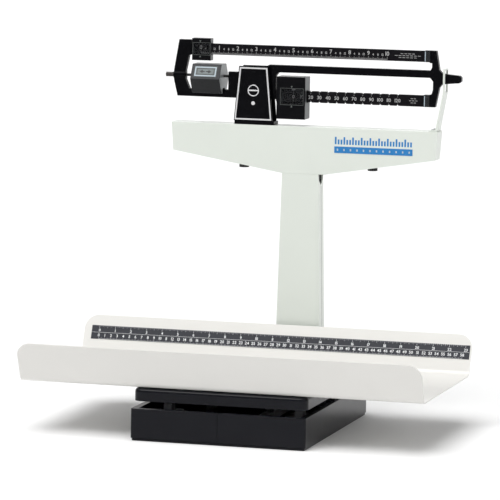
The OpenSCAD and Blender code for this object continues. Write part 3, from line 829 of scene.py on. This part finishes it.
def tape_marks():
    """Inches along the tape's upper edge and centimetres along its lower one."""
    tray = bpy.context.scene.scale_tray
    low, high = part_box("measuring_tape")
    top = tray.tape_width
    middle = top * 0.49
    left = 0.8 * MM - tray.tape_zero
    right = high.x - low.x - tray.tape_zero - 0.8 * MM
    inches, eighths = 23, 8
    centimetres, tenths = 58, 10
    line = 0.32 * MM
    marks = Marks()
    marks.bar(left, right, middle - line / 2, middle + line / 2)
    for step in range(inches * eighths + 1):
        reach = {0: 4.6, 4: 3.2}.get(step % eighths, 2.4 if step % 2 == 0 else 1.6) * MM
        marks.tick(step * INCH / eighths, top, top - reach, line)
    for inch in range(inches + 1):
        marks.figure(str(inch), inch * INCH + 0.6 * MM, middle + 1.3 * MM, 4.4 * MM)
    for step in range(centimetres * tenths + 1):
        reach = {0: 2.8, 5: 2.0}.get(step % tenths, 1.3) * MM
        marks.tick(step * MM, 0, reach, line * 0.8)
    for centimetre in range(centimetres + 1):
        marks.figure(str(centimetre), centimetre * 10 * MM, 4.0 * MM, 4.6 * MM)
    marks.laid("tape_marks", tape_surface(), "platform", "tape_white")


# ---- column ----

def column_seams():
    """A thin grey strip down each side, where the column's two halves meet, up to its opening:
    painted shade standing for the dark gap of the joint.
    """
    corners = [vertex.co for vertex in frame["nodes"]["column_front"].data.vertices]
    low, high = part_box("column_front")
    # painted shade: width of the dark strip that stands for the gap between the halves
    shade_strip = 1.3 * MM
    opening = 19 * MM
    middle = (low.x + high.x) / 2
    foot = high.x - middle
    top = max(corner.x for corner in corners if corner.z > high.z - MM) - middle
    for name, way in (("left", -1), ("right", 1)):
        marks = Marks()
        marks.bar(high.y, high.y + shade_strip, low.z + MM, high.z - opening)

        def surface(u, v, lift):
            half = foot + (top - foot) * (v - low.z) / (high.z - low.z)
            return Vector((middle + way * (half + (lift if lift > 0 else -shade_strip)), u, v))

        marks.laid("column_seam_shade_" + name, surface, "root", "seam_grey")


# ---- beam markings ----

def front_of(node):
    """Surface function for the front face of a node, with u as X and v as Z."""
    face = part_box(node)[0].y
    return lambda u, v, lift: Vector((u, face - lift, v))


def upper_bar_marks():
    """Pounds with their quarters in ounces, and a fine tick for each ounce."""
    beam = bpy.context.scene.scale_beam
    low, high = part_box("upper_bar")
    poise_low, poise_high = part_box("upper_poise")
    zero = (poise_low.x + poise_high.x) / 2 - beam.index
    ounces = 16
    line = 0.35 * MM
    base = low.z + 1.6 * MM
    marks = Marks()
    marks.bar(zero, zero + beam.pounds * beam.pound, base - 0.4 * MM, base)
    for step in range(beam.pounds * ounces + 1):
        reach = {0: 4.6, 8: 3.6, 4: 3.2, 12: 3.2}.get(step % ounces, 2.0) * MM
        marks.tick(zero + step * beam.pound / ounces, base, base + reach, line)
    for pound in range(beam.pounds + 1):
        marks.figure(str(pound), zero + pound * beam.pound, base + 6 * MM, 6.4 * MM)
        for ounce in (4, 8, 12) if pound < beam.pounds else ():
            where = zero + (pound + ounce / ounces) * beam.pound
            marks.figure(str(ounce), where, base + 5.6 * MM, 3.4 * MM)
    for row, count in ((5.6, 5), (8.6, 7), (11.6, 4)):
        spread = count * 3 * MM
        marks.dashes(high.x - 27 * MM - spread, high.x - 27 * MM + spread, low.z + row * MM,
                     count, 0.7 * MM)
    marks.laid("upper_bar_marks", front_of("upper_bar"), "beam", "mark_white")


def lower_bar_marks():
    """A number in tens at each notch, with a fine tick above and below it."""
    beam = bpy.context.scene.scale_beam
    low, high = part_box("lower_bar")
    pawl_low, pawl_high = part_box("lower_poise_pawl")
    zero = (pawl_low.x + pawl_high.x) / 2
    middle = (low.z + high.z) / 2 - 0.6 * MM
    height = 5.4 * MM
    marks = Marks()
    for notch in range(beam.notches + 1):
        where = zero + notch * beam.notch
        marks.figure(str(notch * 10), where, middle - height / 2, height)
        for way in (-1, 1):
            edge = middle + way * 6.6 * MM
            marks.tick(where, edge, edge - way * 1.8 * MM, 0.35 * MM)
    for row, count in ((5.4, 2), (8.6, 3), (11.8, 2)):
        spread = count * 2.4 * MM
        marks.dashes(high.x - 17 * MM - spread, high.x - 17 * MM + spread, low.z + row * MM,
                     count, 0.7 * MM)
    marks.laid("lower_bar_marks", front_of("lower_bar"), "beam", "mark_white")


def joint_marks():
    """Painted highlight: a pale line on each end block, where a bar ends, standing for the light
    caught at the joint.
    """
    low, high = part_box("bar_end_blocks")
    marks = Marks()
    for bar in ("upper_bar", "lower_bar"):
        foot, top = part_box(bar)
        marks.bar(low.x + 0.3 * MM, low.x + 1.5 * MM, foot.z + 0.8 * MM, top.z - 0.8 * MM)
    marks.laid("bar_joint_highlights", front_of("bar_end_blocks"), "beam", "dot_white")


def poise_marks(node, window, body, middle):
    """A thin grey border round a poise's window, a painted highlight standing for the light on its
    embossed rim, and an arrow at the reading point.
    """
    low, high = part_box(window)
    line = 0.5 * MM
    gap = 1.2 * MM
    marks = Marks()
    marks.frame(low.x - gap, high.x + gap, low.z - gap, high.z + gap, line)
    for way, edge in ((-1, low.z), (1, high.z)):
        tip = edge + way * 1.4 * MM
        back = tip + way * 3.2 * MM
        marks.outline(
            [(middle, tip), (middle + way * 1.6 * MM, back), (middle - way * 1.6 * MM, back)]
        )
    marks.laid(node + "_marks", front_of(node), body, "line_grey")


def weight_marks():
    """Border and two opposed arrows on the balance weight's plate."""
    node = frame["nodes"]["weight_label"]
    corners = [vertex.co for vertex in node.data.vertices]
    low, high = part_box("weight_label")
    front = min(corners, key=lambda corner: corner.y + corner.z)
    back = max(corners, key=lambda corner: corner.z - corner.y * 0.01)
    along = Vector((0, back.y - front.y, back.z - front.z)).normalized()
    out = Vector((0, -along.z, along.y))
    face = max(corners, key=lambda corner: corner.dot(out))
    middle = Vector(((low.x + high.x) / 2, (low.y + high.y) / 2, (low.z + high.z) / 2))
    middle += out * (face - middle).dot(out)

    def surface(u, v, lift):
        return middle + Vector((u, 0, 0)) + along * v + out * lift

    half_u, half_v = (high.x - low.x) / 2 - 1.2 * MM, 7.8 * MM
    border = Marks()
    border.frame(-half_u, half_u, -half_v, half_v, 1.3 * MM)
    border.laid("weight_label_border", surface, "balance_weight", "dot_white")
    marks = Marks()
    marks.frame(3 * MM - half_u, half_u - 3 * MM, 2.6 * MM - half_v, half_v - 2.6 * MM, 0.9 * MM)
    for way in (-1, 1):
        tip, root = way * 9.5 * MM, way * 4.5 * MM
        marks.outline([(tip, 0), (root, way * 3 * MM), (root, -way * 3 * MM)])
        marks.bar(min(root, way * 1 * MM), max(root, way * 1 * MM), -0.8 * MM, 0.8 * MM)
    marks.laid("weight_label_marks", surface, "balance_weight", "mark_black")


def shelf_marks():
    """A plain graduated row above the shelf's stripe, and a row of pale dots along it."""
    low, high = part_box("shelf_label")
    shelf_low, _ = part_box("beam_shelf")
    ticks, spots = 27, 12
    pitch = (high.x - low.x) / ticks
    foot = high.z + 3.2 * MM
    row = Marks()
    for step in range(ticks):
        tall = (11.5 if step % 3 == 0 else 7.5) * MM
        start = low.x + step * pitch
        row.bar(start + 0.6 * MM, start + pitch - 1.2 * MM, foot, foot + tall)
    row.laid(
        "shelf_row", lambda u, v, lift: Vector((u, shelf_low.y - lift, v)), "root", "label_blue",
    )
    dots = Marks()
    middle = (low.z + high.z) / 2
    for step in range(spots):
        where = low.x + (high.x - low.x) * (step + 0.5) / spots
        dots.bar(where - 1.1 * MM, where + 1.1 * MM, middle - 1.6 * MM, middle + 1.6 * MM)
    dots.laid("shelf_dots", front_of("shelf_label"), "root", "dot_white")


# ---- operators ----

class SCALE_OT_base(Operator):
    """Finish the base and its levers, and press the platform's cover"""

    bl_idname = "beam_scale.base"
    bl_label = "Base and levers"

    def execute(self, context):
        ease_all((
            ("base_housing", 1.1, "base_black"), ("base_plate", 0.8, "base_black"),
            ("platform_frame", 0.7, "lever_grey"), ("platform_bearings", 0.4, "lever_grey"),
            ("lever_bearings", 0.4, "lever_grey"), ("main_lever", 0.8, "lever_grey"),
            ("short_lever", 0.8, "lever_grey"), ("main_lever_pivots", 0.12, "knife_steel"),
            ("short_lever_pivots", 0.12, "knife_steel"), ("draft_rod", 0.4, "rod_steel"),
            ("draft_rod_hooks", 0.4, "rod_steel"),
        ))
        platform_sheet()
        return {"FINISHED"}


class SCALE_OT_tray(Operator):
    """Make the tray from one bent sheet, with its screws"""

    bl_idname = "beam_scale.tray"
    bl_label = "Tray"

    def execute(self, context):
        tray_sheet()
        ease_all((("tray_screws", 0.5, "screw_steel"),))
        return {"FINISHED"}


class SCALE_OT_tape(Operator):
    """Lay the measuring tape's strip and its inch and centimetre marks"""

    bl_idname = "beam_scale.tape"
    bl_label = "Measuring tape"

    def execute(self, context):
        ease_all((("measuring_tape", 0.12, "tape_black"),))
        tape_marks()
        return {"FINISHED"}


class SCALE_OT_column(Operator):
    """Finish the column's two halves, the painted shade of their joint, the foot, cap and screws
    """

    bl_idname = "beam_scale.column"
    bl_label = "Column"

    def execute(self, context):
        ease_all((
            ("column_front", 0.9, "column_enamel"), ("column_back", 0.9, "column_enamel"),
            ("column_cap", 0.5, "stand_black"), ("column_foot", 0.5, "lever_grey"),
            ("column_screws", 0.5, "screw_steel"),
        ))
        column_seams()
        return {"FINISHED"}


class SCALE_OT_shelf(Operator):
    """Finish the beam shelf, its stripe and the lever inside"""

    bl_idname = "beam_scale.shelf"
    bl_label = "Beam shelf"

    def execute(self, context):
        ease_all((
            ("beam_shelf", 0.9, "column_enamel"), ("shelf_back", 0.5, "column_enamel"),
            ("shelf_plugs", 0.5, "plug_black"), ("shelf_bearing", 0.4, "lever_grey"),
            ("shelf_label", 0.1, "label_blue"), ("shelf_lever", 0.6, "lever_grey"),
            ("shelf_lever_pivots", 0.12, "knife_steel"), ("beam_link", 0.3, "rod_steel"),
            ("trig_loop", 0.4, "loop_white"), ("trig_loop_screws", 0.3, "screw_steel"),
        ))
        shelf_marks()
        return {"FINISHED"}


class SCALE_OT_stand(Operator):
    """Finish the stand that carries the beam, with its badge"""

    bl_idname = "beam_scale.stand"
    bl_label = "Stand"

    def execute(self, context):
        ease_all((
            ("stand_foot", 0.7, "stand_black"), ("stand_front", 0.6, "stand_black"),
            ("stand_back", 0.6, "stand_black"), ("stand_screws", 0.4, "screw_steel"),
            ("beam_bearings", 0.3, "knife_steel"), ("badge_emblem", 0.2, "badge_silver"),
        ))
        kept("badge_frame", "badge_silver")
        return {"FINISHED"}


class SCALE_OT_beam(Operator):
    """Finish the beam and its two bars, mark the bars, and paint a highlight at each bar's joint
    """

    bl_idname = "beam_scale.beam"
    bl_label = "Beam"

    def execute(self, context):
        ease_all((
            ("beam_frame", 1.1, "beam_black"), ("upper_bar", 0.5, "bar_black"),
            ("lower_bar", 0.3, "bar_black"), ("bar_end_blocks", 0.2, "weight_grey"),
            ("beam_rivets", 0.4, "beam_black"), ("beam_pivots", 0.12, "knife_steel"),
        ))
        upper_bar_marks()
        lower_bar_marks()
        joint_marks()
        return {"FINISHED"}


class SCALE_OT_balance(Operator):
    """Finish the balance weight, its plate, rod and knob"""

    bl_idname = "beam_scale.balance"
    bl_label = "Balance weight"

    def execute(self, context):
        ease_all((
            ("balance_rod", 0.4, "rod_black"), ("balance_knob", 0.4, "knob_black"),
            ("balance_weight", 0.8, "weight_grey"), ("weight_label", 0.15, "label_silver"),
        ))
        weight_marks()
        return {"FINISHED"}


class SCALE_OT_poises(Operator):
    """Finish the two poises, their windows and index arrows"""

    bl_idname = "beam_scale.poises"
    bl_label = "Poises"

    def execute(self, context):
        ease_all((
            ("upper_poise", 0.9, "poise_black"), ("upper_poise_window", 0.15, "window_clear"),
            ("lower_poise", 0.9, "poise_black"), ("lower_poise_window", 0.15, "window_clear"),
            ("lower_poise_pawl", 0.2, "knife_steel"),
        ))
        low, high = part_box("upper_poise")
        index = (low.x + high.x) / 2 - context.scene.scale_beam.index
        poise_marks("upper_poise", "upper_poise_window", "upper_poise", index)
        low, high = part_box("lower_poise_pawl")
        poise_marks("lower_poise", "lower_poise_window", "lower_poise", (low.x + high.x) / 2)
        return {"FINISHED"}


class SCALE_OT_stage(Operator):
    """Lay the floor and backdrop, hang the lights and place the camera"""

    bl_idname = "beam_scale.stage"
    bl_label = "Stage"

    def execute(self, context):
        stage = context.scene.scale_stage
        self.floor(stage)
        self.lights(context.scene, stage)
        self.camera(context.scene, stage)
        return {"FINISHED"}

    def floor(self, stage):
        """A floor that curves up into a backdrop all round."""
        reach, height, sweep, steps, turns = 16.0, 9.0, 4.0, 12, 96
        profile = [(0.0, 0.0)]
        for step in range(steps + 1):
            turn = math.pi / 2 * step / steps
            profile.append((reach + sweep * math.sin(turn), sweep * (1 - math.cos(turn))))
        profile.append((reach + sweep, height))
        shape = bmesh.new()
        centre = shape.verts.new((0, 0, 0))
        rings = [
            [
                shape.verts.new((radius * math.cos(turn * math.tau / turns),
                                 radius * math.sin(turn * math.tau / turns), z))
                for turn in range(turns)
            ]
            for radius, z in profile[1:]
        ]
        for turn in range(turns):
            after = (turn + 1) % turns
            shape.faces.new((centre, rings[0][turn], rings[0][after]))
            for inner, outer in zip(rings, rings[1:]):
                shape.faces.new((inner[turn], outer[turn], outer[after], inner[after]))
        mesh = bpy.data.meshes.new("floor")
        shape.to_mesh(mesh)
        shape.free()
        mesh.materials.append(floor_white(stage))
        mesh.shade_smooth()
        floor = bpy.data.objects.new("floor", mesh)
        bpy.context.scene.collection.objects.link(floor)

    def lights(self, scene, stage):
        world = bpy.data.worlds.new("studio")
        world.use_nodes = True
        background = world.node_tree.nodes["Background"]
        background.inputs["Color"].default_value = (1, 1, 1, 1)
        background.inputs["Strength"].default_value = stage.sky
        scene.world = world
        lamp = bpy.data.lights.new("key", "SUN")
        lamp.energy = stage.key
        lamp.angle = stage.softness
        holder = bpy.data.objects.new("key", lamp)
        scene.collection.objects.link(holder)
        holder.rotation_euler = Vector((0.15, 0.42, -1)).to_track_quat("-Z", "Y").to_euler()
        scene.view_settings.view_transform = "Standard"

    def camera(self, scene, stage):
        data = bpy.data.cameras.new("camera")
        data.lens = stage.lens
        data.clip_end = 60
        holder = bpy.data.objects.new("camera", data)
        scene.collection.objects.link(holder)
        view = (Vector(stage.target) - Vector(stage.camera)).normalized()
        side = view.cross(Vector((0, 0, 1))).normalized()
        upward = side.cross(view)
        right = side * math.cos(stage.roll) + upward * math.sin(stage.roll)
        top = upward * math.cos(stage.roll) - side * math.sin(stage.roll)
        holder.matrix_world = Matrix.Translation(stage.camera) @ Matrix(
            (right, top, -view)
        ).transposed().to_4x4()
        scene.camera = holder


class SCALE_PT_panel(Panel):
    """Makes the scale one group of pieces at a time"""

    bl_idname = "SCALE_PT_panel"
    bl_label = "Beam scale"
    bl_space_type = "VIEW_3D"
    bl_region_type = "UI"
    bl_category = "Beam scale"

    def draw(self, context):
        for settings in SETTINGS:
            group = getattr(context.scene, settings)
            box = self.layout.box()
            for name in group.__annotations__:
                box.prop(group, name)
        for operator in OPERATORS:
            self.layout.operator(operator.bl_idname)


OPERATORS = (
    SCALE_OT_stage, SCALE_OT_base, SCALE_OT_tray, SCALE_OT_tape, SCALE_OT_column,
    SCALE_OT_shelf, SCALE_OT_stand, SCALE_OT_beam, SCALE_OT_balance, SCALE_OT_poises,
)
SETTINGS = {
    "scale_finishes": FinishSettings, "scale_base": BaseSettings, "scale_tray": TraySettings,
    "scale_beam": BeamSettings, "scale_stage": StageSettings,
}


def register():
    for kind in (*SETTINGS.values(), *OPERATORS, SCALE_PT_panel):
        bpy.utils.register_class(kind)
    for name, kind in SETTINGS.items():
        setattr(bpy.types.Scene, name, PointerProperty(type=kind))


def unregister():
    for name in SETTINGS:
        delattr(bpy.types.Scene, name)
    for kind in (SCALE_PT_panel, *reversed(OPERATORS), *reversed(SETTINGS.values())):
        bpy.utils.unregister_class(kind)


def main():
    register()
    Marks.draw_figures()
    for operator in OPERATORS:
        group, name = operator.bl_idname.split(".")
        getattr(getattr(bpy.ops, group), name)()
    bpy.context.view_layer.update()


if __name__ == "__main__":
    main()
